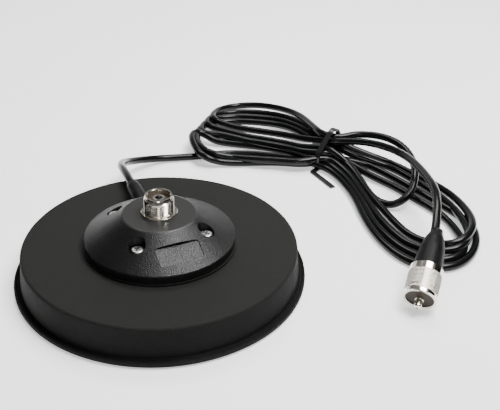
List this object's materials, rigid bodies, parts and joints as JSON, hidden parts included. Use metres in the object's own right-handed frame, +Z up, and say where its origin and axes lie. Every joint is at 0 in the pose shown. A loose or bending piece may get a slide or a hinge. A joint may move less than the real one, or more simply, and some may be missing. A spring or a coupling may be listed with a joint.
{
  "type": "magnetic antenna mount",
  "caption": "Round magnetic base in a rubber boot with a threaded coaxial antenna socket on its hub and a tied coaxial lead ending in a screw-on plug.",
  "frame": {"origin": "centre of the round base on the floor it stands on; the lead, its hank and the plug are left out", "axes": "+Z up along the socket's axis; +X to the viewer's right in the picture; -Y towards the viewer"},
  "size_m": [0.2634, 0.2998, 0.0494],
  "materials": {
    "boot_rubber": "fine matte black rubber",
    "pad_vinyl": "smooth black vinyl",
    "plated_steel": "zinc plated",
    "ferrite": "ground dark ceramic",
    "gasket_rubber": "soft black rubber",
    "hub_plastic": "fine spark-eroded black, satin sheen",
    "screw_steel": "plated",
    "nickel": "bright nickel plate",
    "phenolic": "dark brown moulded resin",
    "contact_metal": "plated brass",
    "tinned_copper": "tinned",
    "core_plastic": "natural white insulation",
    "sleeve_vinyl": "satin black vinyl",
    "cable_vinyl": "semi-gloss black vinyl",
    "tie_plastic": "black flat tie"
  },
  "bodies": {
    "base": {"rubber_boot": "boot_rubber", "base_pad": "pad_vinyl", "steel_cup": "plated_steel", "ring_magnet": "ferrite", "hub_gasket": "gasket_rubber", "hub_cover": "hub_plastic", "hub_screws": "screw_steel", "hub_nuts": "plated_steel", "socket_shell": "nickel", "socket_insulator": "phenolic", "socket_contact": "contact_metal", "lock_washer": "plated_steel", "ground_tag": "tinned_copper", "socket_nut": "plated_steel", "cable_sleeve": "sleeve_vinyl", "core_lead": "core_plastic", "braid_lead": "tinned_copper", "cord_lead": "cable_vinyl", "cord_coil": "cable_vinyl", "cord_loop": "cable_vinyl", "cord_tail": "cable_vinyl", "cable_tie": "tie_plastic", "plug_body": "nickel", "plug_insulator": "phenolic", "plug_pin": "contact_metal", "plug_ferrule": "nickel", "plug_boot": "sleeve_vinyl"},
    "coupling_ring": {"plug_ring": "nickel"}
  },
  "joints": [
    {"name": "ring_spin", "type": "hinge", "parent": "base", "child": "coupling_ring", "pos_m": [0.13576, -0.02945, 0.0081], "axis": [0.3073, 0.8677, 0.3907], "continuous": true}
  ]
}
